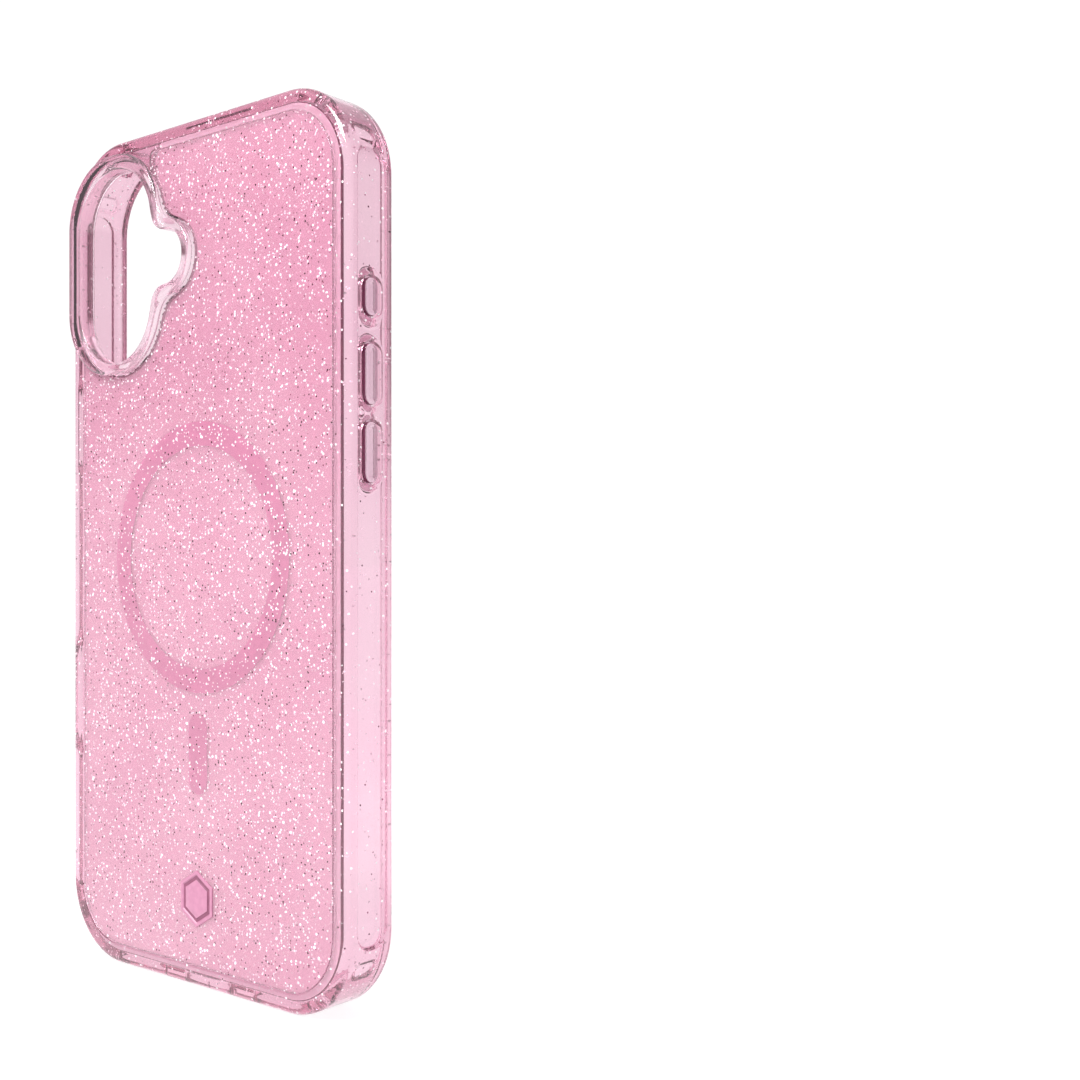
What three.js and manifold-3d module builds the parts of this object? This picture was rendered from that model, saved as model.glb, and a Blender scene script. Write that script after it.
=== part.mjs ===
// A translucent shock-absorbing phone case with a magnetic ring, in millimetres, +Z up.
// It stands on its short edge: X runs across the case, Y through its depth and Z along its length.
// The outer back faces -Y and the screen opening faces +Y. The origin is the bottom centre.

import * as THREE from 'three';
import { mergeVertices } from 'three/addons/utils/BufferGeometryUtils.js';
import Module from 'manifold-3d';

const wasm = await Module();
wasm.setup();

// ---------- Driving dimensions ----------

const CAVITY = { width: 78.0, length: 161.0, depth: 7.9 };
const WALL = 2.2;
const BACK_THICKNESS = 2.1;
const LIP_DEPTH = 1.4;
const LIP_OVERHANG = 1.0;
const CORNER_RADIUS = 16;
const EDGE_ROUNDING = 1.5;
const JOIN_GAP = 0.3;
const LAYER_GAP = 0.05;

const WIDTH = CAVITY.width + 2 * WALL;
const LENGTH = CAVITY.length + 2 * WALL;
const DEPTH = BACK_THICKNESS + CAVITY.depth + LIP_DEPTH;
const MID_Z = LENGTH / 2;
const HALF_WIDTH = WIDTH / 2;

// The back is two layers: a hard panel let into the bumper, and a liner behind it.
const PANEL_THICKNESS = 1.3;
const PANEL_INSET = 4.0;
const LINER_INSET = WALL + JOIN_GAP;

// The camera opening is an upright slot with a round flash lobe on its inner side.
const CAMERA = {
  centreX: -24.5,
  radius: 11.5,
  lowZ: MID_Z + 49.3,
  highZ: MID_Z + 65.0,
  lobeX: -8.5,
  lobeZ: MID_Z + 57.15,
  lobeRadius: 5.2,
  neckFillet: 2.6,
};
const GUARD = { height: 1.45, rim: 2.2, wall: 1.9, stretchLeft: 2.4, stretchTop: 1.0 };

// The bumper fills the corner beyond the guard, so the panel and the liner stop at this line.
const CAMERA_CORNER = { rightX: -14.5, leftX: -36.0, lowZ: MID_Z + 46.0, highZ: MID_Z + 66.0 };

// A shallow channel runs along both long edges and the top edge.
const CHANNEL = { depth: 0.8, width: 6.75, length: 140.5, centreZ: MID_Z + 0.75, topLength: 50 };
const CHANNEL_CENTRE = 5.725;

// Each button is a rounded cap in a window with open slots along both of its long sides.
const CAP = { width: 3.1, slot: 0.7, endGap: 0.3, bevel: 0.3, below: 0.05 };
const TAB = { overlap: 1.2, thickness: 0.4, inside: 0.05, pocketDepth: 0.75 };
const BEZEL = { width: 5.8, below: 0.1 };
const BUTTONS = [
  { name: 'action_button', side: 1, centreZ: MID_Z + 44.5, length: 6.8 },
  { name: 'volume_up_button', side: 1, centreZ: MID_Z + 31.0, length: 10.8 },
  { name: 'volume_down_button', side: 1, centreZ: MID_Z + 17.3, length: 10.8 },
  { name: 'power_button', side: -1, centreZ: MID_Z + 26.2, length: 15.6 },
];
const BEZELS = [
  { side: 1, centreZ: MID_Z + 44.5, length: 10.4, width: BEZEL.width },
  { side: 1, centreZ: MID_Z + 24.15, length: 27.0, width: BEZEL.width },
  { side: -1, centreZ: MID_Z + 26.2, length: 21.4, width: BEZEL.width },
  { side: -1, centreZ: MID_Z - 29.35, length: 27.3, width: CHANNEL.width },
];
const CAMERA_CONTROL = { centreZ: MID_Z - 29.35, length: 19.7, width: 4.8 };

// The bottom edge is open for the charging port and for the speaker and the microphone.
const PORT = { width: 13.6, height: 6.0 };
const SOUND_SLOT = { width: 15.0, height: 2.6, centreX: 20.5 };
const EDGE_OPENING_CENTRE = BACK_THICKNESS + CAVITY.depth / 2;
const EARPIECE = { width: 20, relief: 0.5 };

// Air pockets inside the four corners cushion a drop.
const AIR_POCKET = { depth: 0.9, height: 5.0, startAngle: 18, endAngle: 72 };

// The magnet array and its covers share one centre.
const RING = { centreZ: MID_Z - 1.0, outerRadius: 25.8, innerRadius: 21.2 };
const COVER_THICKNESS = 0.2;
const POCKET_DEPTH = 0.95;
const MAGNET = { count: 18, gapAngle: 1.5, outerRadius: 25.2, innerRadius: 21.8, thickness: 0.6 };
const CARRIER = { thickness: 0.15, recess: 0.25 };
const STEM = { width: 5.5, length: 15.3, centreZ: MID_Z - 38.4, border: 0.9 };

// A plain six-sided badge sits low on the back.
const BADGE = { radius: 5.4, thickness: 0.2, recess: 0.25, gap: 0.1, centreZ: MID_Z - 65.8 };

const CUT = 1;
const PILL_FLAT = 0.1;
const CORNER_STEPS = 4;
const CIRCLE_STEPS = 28;

// ---------- Materials ----------

function plastic(color, roughness, opacity) {
  return new THREE.MeshStandardMaterial({
    color,
    roughness,
    metalness: 0,
    opacity,
    transparent: opacity < 1,
    flatShading: true,
  });
}

const MATERIALS = {
  bumper: () => plastic(0xeeb6c9, 0.15, 0.65),
  panel: () => plastic(0xedaec6, 0.2, 0.8),
  liner: () => plastic(0xf0bdd0, 0.3, 0.8),
  guard: () => plastic(0xf0bccd, 0.12, 0.65),
  button: () => plastic(0xe9a9c1, 0.15, 0.7),
  cover: () => plastic(0xe9a0c2, 0.35, 1),
  badge: () => plastic(0xc98aa8, 0.35, 1),
  magnet: () => new THREE.MeshStandardMaterial({
    color: 0xb9bcc2,
    roughness: 0.3,
    metalness: 1,
    flatShading: true,
  }),
  carrier: () => new THREE.MeshStandardMaterial({
    color: 0xd9d4d8,
    roughness: 0.5,
    metalness: 0.2,
    flatShading: true,
  }),
};

// ---------- Solids from three.js geometry ----------

function toSolid(geometry) {
  geometry.deleteAttribute('normal');
  geometry.deleteAttribute('uv');
  const merged = mergeVertices(geometry);
  return new wasm.Manifold(new wasm.Mesh({
    numProp: 3,
    vertProperties: new Float32Array(merged.attributes.position.array),
    triVerts: new Uint32Array(merged.index.array),
  }));
}

function toGeometry(solid) {
  const mesh = solid.getMesh();
  const geometry = new THREE.BufferGeometry();
  geometry.setAttribute('position', new THREE.BufferAttribute(mesh.vertProperties, 3));
  geometry.setIndex(new THREE.BufferAttribute(mesh.triVerts, 1));
  geometry.computeVertexNormals();
  return geometry;
}

const AXIS_X = new THREE.Vector3(1, 0, 0);
const AXIS_Y = new THREE.Vector3(0, 1, 0);
const AXIS_Z = new THREE.Vector3(0, 0, 1);

function extrude(shape, length, steps, bevel = 0) {
  return new THREE.ExtrudeGeometry(shape, {
    depth: length - 2 * bevel,
    curveSegments: steps,
    bevelEnabled: bevel > 0,
    bevelThickness: bevel,
    bevelSize: bevel,
    bevelOffset: -bevel,
    bevelSegments: 3,
  }).translate(0, 0, bevel);
}

// Depths are measured from the flat outer back towards the screen.
function depthToY(depth) {
  return depth + GUARD.height - (DEPTH + GUARD.height) / 2;
}

function slabBetween(shape, fromDepth, toDepth, steps = CORNER_STEPS, bevel = 0) {
  const turn = new THREE.Matrix4().makeBasis(AXIS_X, AXIS_Z, AXIS_Y.clone().negate());
  const geometry = extrude(shape, toDepth - fromDepth, steps, bevel).applyMatrix4(turn);
  return toSolid(geometry.translate(0, depthToY(toDepth), 0));
}

// Extrudes a shape drawn in (Y, Z) outwards between two distances from the case's middle plane.
function sideSlab(shape, side, fromX, toX, bevel = 0) {
  const turn = new THREE.Matrix4().makeBasis(AXIS_Y, AXIS_Z, AXIS_X);
  const geometry = extrude(shape, toX - fromX, CORNER_STEPS, bevel).applyMatrix4(turn);
  return toSolid(geometry.translate(side > 0 ? fromX : -toX, 0, 0));
}

function uprightSlab(shape, fromZ, toZ) {
  return toSolid(extrude(shape, toZ - fromZ, CORNER_STEPS).translate(0, 0, fromZ));
}

// ---------- Outlines ----------

function roundedRectangle(width, height, radius, centreX = 0, centreY = 0) {
  const halfWidth = width / 2 - radius;
  const halfHeight = height / 2 - radius;
  const shape = new THREE.Shape();
  const corners = [[1, -1], [1, 1], [-1, 1], [-1, -1]];
  corners.forEach(([signX, signY], index) => {
    const start = (index - 1) * Math.PI / 2;
    shape.absarc(
      centreX + signX * halfWidth,
      centreY + signY * halfHeight,
      radius,
      start,
      start + Math.PI / 2,
      false,
    );
  });
  shape.closePath();
  return shape;
}

function pill(width, height, centreX, centreY) {
  return roundedRectangle(width, height, Math.min(width, height) / 2 - PILL_FLAT, centreX, centreY);
}

function caseOutline(inset) {
  return roundedRectangle(
    WIDTH - 2 * inset,
    LENGTH - 2 * inset,
    CORNER_RADIUS - inset,
    0,
    MID_Z,
  );
}

function ringOutline(outerRadius, innerRadius) {
  const shape = new THREE.Shape();
  shape.absarc(0, RING.centreZ, outerRadius, 0, 2 * Math.PI, false);
  const hole = new THREE.Path();
  hole.absarc(0, RING.centreZ, innerRadius, 0, 2 * Math.PI, true);
  shape.holes.push(hole);
  return shape;
}

// An arc-shaped block of a ring, in degrees, about a centre.
function ringSector(centreX, centreZ, innerRadius, outerRadius, fromAngle, toAngle) {
  const from = THREE.MathUtils.degToRad(fromAngle);
  const to = THREE.MathUtils.degToRad(toAngle);
  const shape = new THREE.Shape();
  shape.absarc(centreX, centreZ, outerRadius, from, to, false);
  shape.absarc(centreX, centreZ, innerRadius, to, from, true);
  shape.closePath();
  return shape;
}

// The camera opening's outline, moved outwards by grow and stretched to the left and the top.
function cameraOutline(grow, stretchLeft = 0, stretchTop = 0) {
  const quarter = Math.PI / 2;
  const radius = CAMERA.radius + grow;
  const lobeRadius = CAMERA.lobeRadius + grow;
  const fillet = CAMERA.neckFillet - grow;
  const filletX = CAMERA.centreX + radius + fillet;
  const leftX = CAMERA.centreX - stretchLeft;
  const highZ = CAMERA.highZ + stretchTop;
  const shape = new THREE.Shape();
  shape.absarc(CAMERA.centreX, CAMERA.lowZ, radius, -quarter, 0, false);
  shape.absarc(filletX, CAMERA.lobeZ - lobeRadius - fillet, fillet, 2 * quarter, quarter, true);
  shape.absarc(CAMERA.lobeX, CAMERA.lobeZ, lobeRadius, -quarter, quarter, false);
  shape.absarc(filletX, CAMERA.lobeZ + lobeRadius + fillet, fillet, -quarter, -2 * quarter, true);
  shape.absarc(CAMERA.centreX, highZ, radius, 0, quarter, false);
  shape.absarc(leftX, highZ, radius, quarter, 2 * quarter, false);
  shape.absarc(leftX, CAMERA.lowZ, radius, 2 * quarter, 3 * quarter, false);
  shape.closePath();
  return shape;
}

// ---------- Back layers ----------

// The corner beyond the camera guard that belongs to the bumper.
function cameraCorner(shift) {
  const outer = 2 * WIDTH;
  const above = new THREE.Shape([
    new THREE.Vector2(-outer, CAMERA_CORNER.highZ + shift),
    new THREE.Vector2(CAMERA_CORNER.rightX - shift, CAMERA_CORNER.highZ + shift),
    new THREE.Vector2(CAMERA_CORNER.rightX - shift, outer * 2),
    new THREE.Vector2(-outer, outer * 2),
  ]);
  const beside = new THREE.Shape([
    new THREE.Vector2(-outer, CAMERA_CORNER.lowZ + shift),
    new THREE.Vector2(CAMERA_CORNER.leftX - shift, CAMERA_CORNER.lowZ + shift),
    new THREE.Vector2(CAMERA_CORNER.leftX - shift, outer * 2),
    new THREE.Vector2(-outer, outer * 2),
  ]);
  const aboveSolid = slabBetween(above, -CUT, BACK_THICKNESS + CUT);
  return aboveSolid.add(slabBetween(beside, -CUT, BACK_THICKNESS + CUT));
}

function cameraHole(fromDepth, toDepth) {
  return slabBetween(cameraOutline(GUARD.rim), fromDepth, toDepth);
}

function stemOutline(border) {
  return pill(STEM.width - 2 * border, STEM.length - 2 * border, 0, STEM.centreZ);
}

function badgeOutline(gap) {
  const shape = new THREE.Shape();
  const sides = 6;
  for (let corner = 0; corner < sides; corner += 1) {
    const angle = (corner + 0.5) * 2 * Math.PI / sides;
    const x = (BADGE.radius + gap) * Math.cos(angle);
    const z = BADGE.centreZ + (BADGE.radius + gap) * Math.sin(angle);
    if (corner === 0) {
      shape.moveTo(x, z);
    } else {
      shape.lineTo(x, z);
    }
  }
  shape.closePath();
  return shape;
}

// The panel's pockets hold the covers, which show through it, and the magnets behind them.
function pocketRing() {
  return ringOutline(RING.outerRadius + JOIN_GAP, RING.innerRadius - JOIN_GAP);
}

function backPanel() {
  const pocketStart = PANEL_THICKNESS - POCKET_DEPTH;
  const pocketEnd = PANEL_THICKNESS + CUT;
  return slabBetween(caseOutline(PANEL_INSET), 0, PANEL_THICKNESS)
    .subtract(cameraHole(-CUT, PANEL_THICKNESS + CUT))
    .subtract(cameraCorner(0))
    .subtract(slabBetween(badgeOutline(BADGE.gap), -CUT, BADGE.recess))
    .subtract(slabBetween(pocketRing(), pocketStart, pocketEnd, CIRCLE_STEPS))
    .subtract(slabBetween(stemOutline(-JOIN_GAP), pocketStart, pocketEnd));
}

function innerLiner() {
  const start = PANEL_THICKNESS + LAYER_GAP;
  return slabBetween(caseOutline(LINER_INSET), start, BACK_THICKNESS)
    .subtract(cameraHole(0, BACK_THICKNESS + CUT))
    .subtract(cameraCorner(0))
    .subtract(slabBetween(pocketRing(), 0, start + CARRIER.recess, CIRCLE_STEPS));
}

const COVER_START = PANEL_THICKNESS - POCKET_DEPTH + LAYER_GAP;
const COVER_END = COVER_START + COVER_THICKNESS;

function ringCover() {
  const outline = ringOutline(RING.outerRadius, RING.innerRadius);
  return slabBetween(outline, COVER_START, COVER_END, CIRCLE_STEPS);
}

function stemCover() {
  return slabBetween(stemOutline(0), COVER_START, COVER_END);
}

function badge() {
  return slabBetween(badgeOutline(0), 0, BADGE.thickness);
}

// ---------- Magnet array ----------

const MAGNET_START = COVER_END + LAYER_GAP;

function ringMagnet(index) {
  const pitch = 360 / MAGNET.count;
  const from = index * pitch + MAGNET.gapAngle / 2;
  const to = (index + 1) * pitch - MAGNET.gapAngle / 2;
  const { innerRadius, outerRadius, thickness } = MAGNET;
  const outline = ringSector(0, RING.centreZ, innerRadius, outerRadius, from, to);
  return slabBetween(outline, MAGNET_START, MAGNET_START + thickness, 2);
}

function stemMagnet() {
  return slabBetween(stemOutline(STEM.border), MAGNET_START, MAGNET_START + MAGNET.thickness);
}

function magnetCarrier() {
  const outline = ringOutline(MAGNET.outerRadius, MAGNET.innerRadius);
  const start = PANEL_THICKNESS + LAYER_GAP;
  return slabBetween(outline, start, start + CARRIER.thickness, CIRCLE_STEPS);
}

// ---------- Camera guard ----------

function cameraGuard() {
  const rim = cameraOutline(GUARD.rim, GUARD.stretchLeft, GUARD.stretchTop);
  return slabBetween(rim, -GUARD.height, -LAYER_GAP)
    .add(slabBetween(cameraOutline(GUARD.wall), -GUARD.height / 2, BACK_THICKNESS))
    .subtract(slabBetween(cameraOutline(0), -GUARD.height - CUT, BACK_THICKNESS + CUT));
}

// ---------- Buttons ----------

const SIDE_Y = depthToY(CHANNEL_CENTRE);
const INNER_X = CAVITY.width / 2;

function buttonCap({ side, centreZ, length }) {
  const top = HALF_WIDTH - CAP.below;
  const tabStart = INNER_X + TAB.inside;
  const tab = pill(CAP.width, length + 2 * TAB.overlap, SIDE_Y, centreZ);
  const cap = sideSlab(pill(CAP.width, length, SIDE_Y, centreZ), side, tabStart, top, CAP.bevel);
  return cap.add(sideSlab(tab, side, tabStart, tabStart + TAB.thickness));
}

// The window through the wall, with a pocket inside it for the cap's end tabs.
function buttonWindow({ side, centreZ, length }) {
  const windowWidth = CAP.width + 2 * CAP.slot;
  const windowShape = pill(windowWidth, length + 2 * CAP.endGap, SIDE_Y, centreZ);
  const pocketLength = length + 2 * (TAB.overlap + CAP.endGap);
  const pocketShape = pill(CAP.width + 2 * JOIN_GAP, pocketLength, SIDE_Y, centreZ);
  return sideSlab(windowShape, side, INNER_X - CUT, HALF_WIDTH + CUT)
    .add(sideSlab(pocketShape, side, INNER_X - CUT, INNER_X + TAB.pocketDepth));
}

// ---------- Bumper ----------

function sideChannels() {
  const floor = HALF_WIDTH - CHANNEL.depth;
  const outline = pill(CHANNEL.width, CHANNEL.length, SIDE_Y, CHANNEL.centreZ);
  const left = sideSlab(outline, -1, floor, HALF_WIDTH + CUT);
  const right = sideSlab(outline, 1, floor, HALF_WIDTH + CUT);
  const bezels = BEZELS.map(({ side, centreZ, length, width }) => (
    sideSlab(pill(width, length, SIDE_Y, centreZ), side, floor - CUT, HALF_WIDTH - BEZEL.below)
  ));
  return bezels.reduce((channels, bezel) => channels.subtract(bezel), left.add(right));
}

function topChannel() {
  const outline = pill(CHANNEL.topLength, CHANNEL.width, 0, SIDE_Y);
  return uprightSlab(outline, LENGTH - CHANNEL.depth, LENGTH + CUT);
}

function cameraControlSlot() {
  const { width, length, centreZ } = CAMERA_CONTROL;
  return sideSlab(pill(width, length, SIDE_Y, centreZ), -1, INNER_X - CUT, HALF_WIDTH + CUT);
}

function bottomOpenings() {
  const y = depthToY(EDGE_OPENING_CENTRE);
  const top = WALL + CUT;
  const port = uprightSlab(pill(PORT.width, PORT.height, 0, y), -CUT, top);
  return [-1, 1].reduce((openings, side) => {
    const slot = pill(SOUND_SLOT.width, SOUND_SLOT.height, side * SOUND_SLOT.centreX, y);
    return openings.add(uprightSlab(slot, -CUT, top));
  }, port);
}

function cornerAirPockets() {
  const radius = CORNER_RADIUS - WALL;
  const fromDepth = EDGE_OPENING_CENTRE - AIR_POCKET.height / 2;
  const toDepth = EDGE_OPENING_CENTRE + AIR_POCKET.height / 2;
  const pockets = [0, 1, 2, 3].map((corner) => {
    const signX = corner === 0 || corner === 3 ? 1 : -1;
    const signZ = corner < 2 ? 1 : -1;
    return slabBetween(ringSector(
      signX * (HALF_WIDTH - CORNER_RADIUS),
      MID_Z + signZ * (LENGTH / 2 - CORNER_RADIUS),
      radius - CUT,
      radius + AIR_POCKET.depth,
      corner * 90 + AIR_POCKET.startAngle,
      corner * 90 + AIR_POCKET.endAngle,
    ), fromDepth, toDepth);
  });
  return pockets.reduce((all, pocket) => all.add(pocket));
}

// The space for the phone, open to the screen side past the overhanging lip.
function phoneSpace() {
  const lipStart = BACK_THICKNESS + CAVITY.depth;
  const mouth = caseOutline(WALL + LIP_OVERHANG);
  const earpiece = roundedRectangle(
    EARPIECE.width,
    2 * (LIP_OVERHANG + EARPIECE.relief),
    LIP_OVERHANG,
    0,
    LENGTH - WALL - LIP_OVERHANG,
  );
  return slabBetween(caseOutline(WALL), BACK_THICKNESS, lipStart)
    .add(slabBetween(mouth, BACK_THICKNESS, DEPTH + CUT))
    .add(slabBetween(earpiece, lipStart - CUT, DEPTH + CUT));
}

// The opening in the bumper's back ledge that the panel and the liner fill.
function backOpening() {
  const corner = cameraCorner(JOIN_GAP);
  return slabBetween(caseOutline(PANEL_INSET - JOIN_GAP), -CUT, PANEL_THICKNESS + CUT)
    .add(slabBetween(caseOutline(WALL), PANEL_THICKNESS, BACK_THICKNESS + LAYER_GAP))
    .subtract(corner)
    .add(cameraHole(-CUT, BACK_THICKNESS + CUT));
}

function bumperFrame() {
  const block = slabBetween(caseOutline(0), 0, DEPTH, CORNER_STEPS, EDGE_ROUNDING);
  const hollows = [
    phoneSpace(),
    backOpening(),
    sideChannels(),
    topChannel(),
    cameraControlSlot(),
    bottomOpenings(),
    cornerAirPockets(),
    ...BUTTONS.map(buttonWindow),
  ];
  return hollows.reduce((frame, hollow) => frame.subtract(hollow), block);
}

// ---------- Assembly ----------

function part(name, solid, material) {
  const mesh = new THREE.Mesh(toGeometry(solid), MATERIALS[material]());
  mesh.name = name;
  return mesh;
}

function backAssembly() {
  const group = new THREE.Group();
  group.add(part('back_panel', backPanel(), 'panel'));
  group.add(part('inner_liner', innerLiner(), 'liner'));
  group.add(part('ring_cover', ringCover(), 'cover'));
  group.add(part('stem_cover', stemCover(), 'cover'));
  group.add(part('badge', badge(), 'badge'));
  return group;
}

function magnetArray() {
  const group = new THREE.Group();
  for (let index = 0; index < MAGNET.count; index += 1) {
    const number = String(index + 1).padStart(2, '0');
    group.add(part(`ring_magnet_${number}`, ringMagnet(index), 'magnet'));
  }
  group.add(part('alignment_magnet', stemMagnet(), 'magnet'));
  group.add(part('magnet_carrier', magnetCarrier(), 'carrier'));
  return group;
}

function buttonSet() {
  const group = new THREE.Group();
  BUTTONS.forEach((button) => {
    group.add(part(button.name, buttonCap(button), 'button'));
  });
  return group;
}

const phoneCase = new THREE.Group();
phoneCase.add(part('bumper_frame', bumperFrame(), 'bumper'));
phoneCase.add(part('camera_guard', cameraGuard(), 'guard'));
phoneCase.add(backAssembly());
phoneCase.add(magnetArray());
phoneCase.add(buttonSet());

export default phoneCase;
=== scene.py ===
"""Looks of a translucent pink glitter phone case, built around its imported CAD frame.

Shapes are given in millimetres as (x, depth, up): x across the case, depth from the flat outer
back towards the screen, and up from the middle of the case's length. place() turns them into the
row frame in metres.
"""

import math

import bmesh
import bpy
import numpy as np
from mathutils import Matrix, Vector


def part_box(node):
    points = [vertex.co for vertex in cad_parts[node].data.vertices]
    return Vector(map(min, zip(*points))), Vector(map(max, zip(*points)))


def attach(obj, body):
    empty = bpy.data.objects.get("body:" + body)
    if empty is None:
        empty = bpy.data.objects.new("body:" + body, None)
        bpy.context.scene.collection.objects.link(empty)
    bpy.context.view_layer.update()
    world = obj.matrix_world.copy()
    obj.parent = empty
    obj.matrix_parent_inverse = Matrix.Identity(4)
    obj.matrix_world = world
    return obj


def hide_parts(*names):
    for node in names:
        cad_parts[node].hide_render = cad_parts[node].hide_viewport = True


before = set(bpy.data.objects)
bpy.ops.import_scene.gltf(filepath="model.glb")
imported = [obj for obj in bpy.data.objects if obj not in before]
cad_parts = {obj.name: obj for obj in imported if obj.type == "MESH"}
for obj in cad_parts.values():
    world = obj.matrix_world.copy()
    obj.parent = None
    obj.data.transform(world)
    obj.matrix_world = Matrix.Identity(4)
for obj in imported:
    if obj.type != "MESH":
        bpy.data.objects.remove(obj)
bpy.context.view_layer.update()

MM = 0.001
BODY = "case"

# ---------- Dimensions, from the frame ----------

frame_low, frame_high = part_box("bumper_frame")
guard_low, guard_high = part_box("camera_guard")
panel_low, panel_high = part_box("back_panel")
liner_low, liner_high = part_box("inner_liner")
cover_low, cover_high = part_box("ring_cover")
stem_low, stem_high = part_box("stem_cover")
badge_low, badge_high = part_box("badge")

BACK_Y = frame_low.y
MID_Z = (frame_low.z + frame_high.z) / 2
HALF_WIDTH = (frame_high.x - frame_low.x) / 2 / MM
HALF_LENGTH = (frame_high.z - frame_low.z) / 2 / MM
DEPTH = (frame_high.y - frame_low.y) / MM
GUARD_HEIGHT = (BACK_Y - guard_low.y) / MM
BACK_THICKNESS = (liner_high.y - BACK_Y) / MM
PANEL_THICKNESS = (panel_high.y - BACK_Y) / MM
PANEL_INSET = HALF_WIDTH - panel_high.x / MM
COVER_OUTER = (cover_high.x - cover_low.x) / 2 / MM
RING_UP = ((cover_low.z + cover_high.z) / 2 - MID_Z) / MM
STEM_UP = ((stem_low.z + stem_high.z) / 2 - MID_Z) / MM
STEM_HALF_WIDTH = (stem_high.x - stem_low.x) / 2 / MM
STEM_HALF_LENGTH = (stem_high.z - stem_low.z) / 2 / MM
BADGE_UP = ((badge_low.z + badge_high.z) / 2 - MID_Z) / MM
BADGE_RADIUS = (badge_high.z - badge_low.z) / 2 / MM

# ---------- Dimensions the frame shows but does not name ----------

WALL = 2.2
CORNER_RADIUS = 16.0
LIP_DEPTH = 1.4
LIP_OVERHANG = 1.0
SEAM = 0.06
BODY_ROUNDING = 1.6
CAVITY_ROUNDING = 0.5
EARPIECE_HALF = (10.0, 0.75)
EARPIECE_RADIUS = 0.7
COVER_BAND = 4.6
COVER_INNER = COVER_OUTER - COVER_BAND

CAMERA_X = -24.5
CAMERA_RADIUS = 11.5
CAMERA_LOW = 49.3
CAMERA_HIGH = 65.0
LOBE_X = -8.5
LOBE_UP = 57.15
LOBE_RADIUS = 5.2
NECK_BLEND = 5.0
GUARD_RIM = 2.2
GUARD_WALL = 1.9
GUARD_LEFT = 2.4
GUARD_TOP = 1.0
GUARD_ROUNDING = 0.72

# Where the back panel stops beside the camera guard: (x, up) of the step at its top and at its side.
NOTCH_TOP = (-14.5, 66.0)
NOTCH_SIDE = (-36.0, 46.0)
NOTCH_GAP = 0.35
NOTCH_FILLET = 1.0
NOTCH_ROUNDING = 1.6

CHANNEL_DEPTH = 0.8
CHANNEL_HALF_WIDTH = 3.375
CHANNEL_MIDDLE = 5.725
CHANNEL_UP = 0.75
CHANNEL_HALF_LENGTH = 70.25
TOP_CHANNEL_HALF = 25.0

CAP_HALF_WIDTH = 1.55
SLOT = 0.7
CAP_END_GAP = 0.3
TAB_OVERLAP = 1.2
TAB_THICKNESS = 0.4
POCKET = 0.75
BEZEL_HALF_WIDTH = 2.95
BEZELS = {1: [(44.5, 5.2), (24.15, 13.5)], -1: [(26.2, 10.7)]}
BUTTONS = {
    "action_button": (1, 44.5, 3.4, "action_key"),
    "volume_up_button": (1, 31.0, 5.4, "volume_up_key"),
    "volume_down_button": (1, 17.3, 5.4, "volume_down_key"),
    "power_button": (-1, 26.2, 7.8, "power_key"),
}
CONTROL_UP = -29.35
CONTROL_HALF_LENGTH = 9.85
CONTROL_HALF_WIDTH = 2.4
CONTROL_PAD = 13.65

PORT_HALF = (6.8, 3.0)
SOUND_HALF = (7.5, 1.3)
SOUND_X = 20.5
OUTSIDE = 5.0
EDGE_MIDDLE = BACK_THICKNESS + (DEPTH - BACK_THICKNESS - LIP_DEPTH) / 2


# ---------- Distance fields: negative inside, in millimetres ----------


def rounded_box(a, b, half_a, half_b, radius):
    """Distance to a rounded rectangle in two directions a and b."""
    qa = np.abs(a) - half_a + radius
    qb = np.abs(b) - half_b + radius
    outside = np.hypot(np.maximum(qa, 0), np.maximum(qb, 0))
    return np.minimum(np.maximum(qa, qb), 0) + outside - radius


def pill(a, b, half_a, half_b):
    """Distance to a rounded slot with full round ends."""
    return rounded_box(a, b, half_a, half_b, min(half_a, half_b))


def slab(outline, offset, half, radius):
    """An outline made solid over |offset| < half, with its edges rounded by radius."""
    q1 = outline + radius
    q2 = np.abs(offset) - half + radius
    outside = np.hypot(np.maximum(q1, 0), np.maximum(q2, 0))
    return np.minimum(np.maximum(q1, q2), 0) + outside - radius


def join(a, b, blend=0.0):
    """Union of two fields with a fillet."""
    if blend == 0.0:
        return np.minimum(a, b)
    share = np.maximum(blend - np.abs(a - b), 0) / blend
    return np.minimum(a, b) - share * share * blend / 4


def cut(a, b, blend=0.0):
    """Field a without field b, with a rounded edge."""
    return -join(-a, b, blend)


def case_outline(x, up, inset):
    return rounded_box(
        x, up, HALF_WIDTH - inset, HALF_LENGTH - inset, CORNER_RADIUS - inset
    )


def camera_outline(x, up, grow, left=0.0, top=0.0):
    """The camera opening and its flash lobe, grown by grow and stretched to the left and the top."""
    half_width = CAMERA_RADIUS + left / 2
    half_height = CAMERA_RADIUS + (CAMERA_HIGH + top - CAMERA_LOW) / 2
    middle_up = (CAMERA_LOW + CAMERA_HIGH + top) / 2
    window = rounded_box(
        x - CAMERA_X + left / 2, up - middle_up, half_width, half_height, CAMERA_RADIUS
    )
    half_lobe = (LOBE_X - CAMERA_X) / 2 + LOBE_RADIUS
    lobe = pill(x - (CAMERA_X + LOBE_X) / 2, up - LOBE_UP, half_lobe, LOBE_RADIUS)
    return join(window, lobe, NECK_BLEND) - grow


def panel_outline(x, up, inset):
    """The hard back panel: the case's outline less the camera guard and the corner beyond it."""
    whole = case_outline(x, up, inset)
    shift = inset - PANEL_INSET
    above = np.maximum(x - (NOTCH_TOP[0] - shift), (NOTCH_TOP[1] + shift) - up)
    beside = np.maximum(x - (NOTCH_SIDE[0] - shift), (NOTCH_SIDE[1] + shift) - up)
    corner = join(above, beside)
    guard = camera_outline(x, up, GUARD_RIM + NOTCH_GAP + shift)
    return cut(whole, join(corner, guard, NOTCH_FILLET), NOTCH_ROUNDING)


# ---------- Meshes from fields ----------


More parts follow.
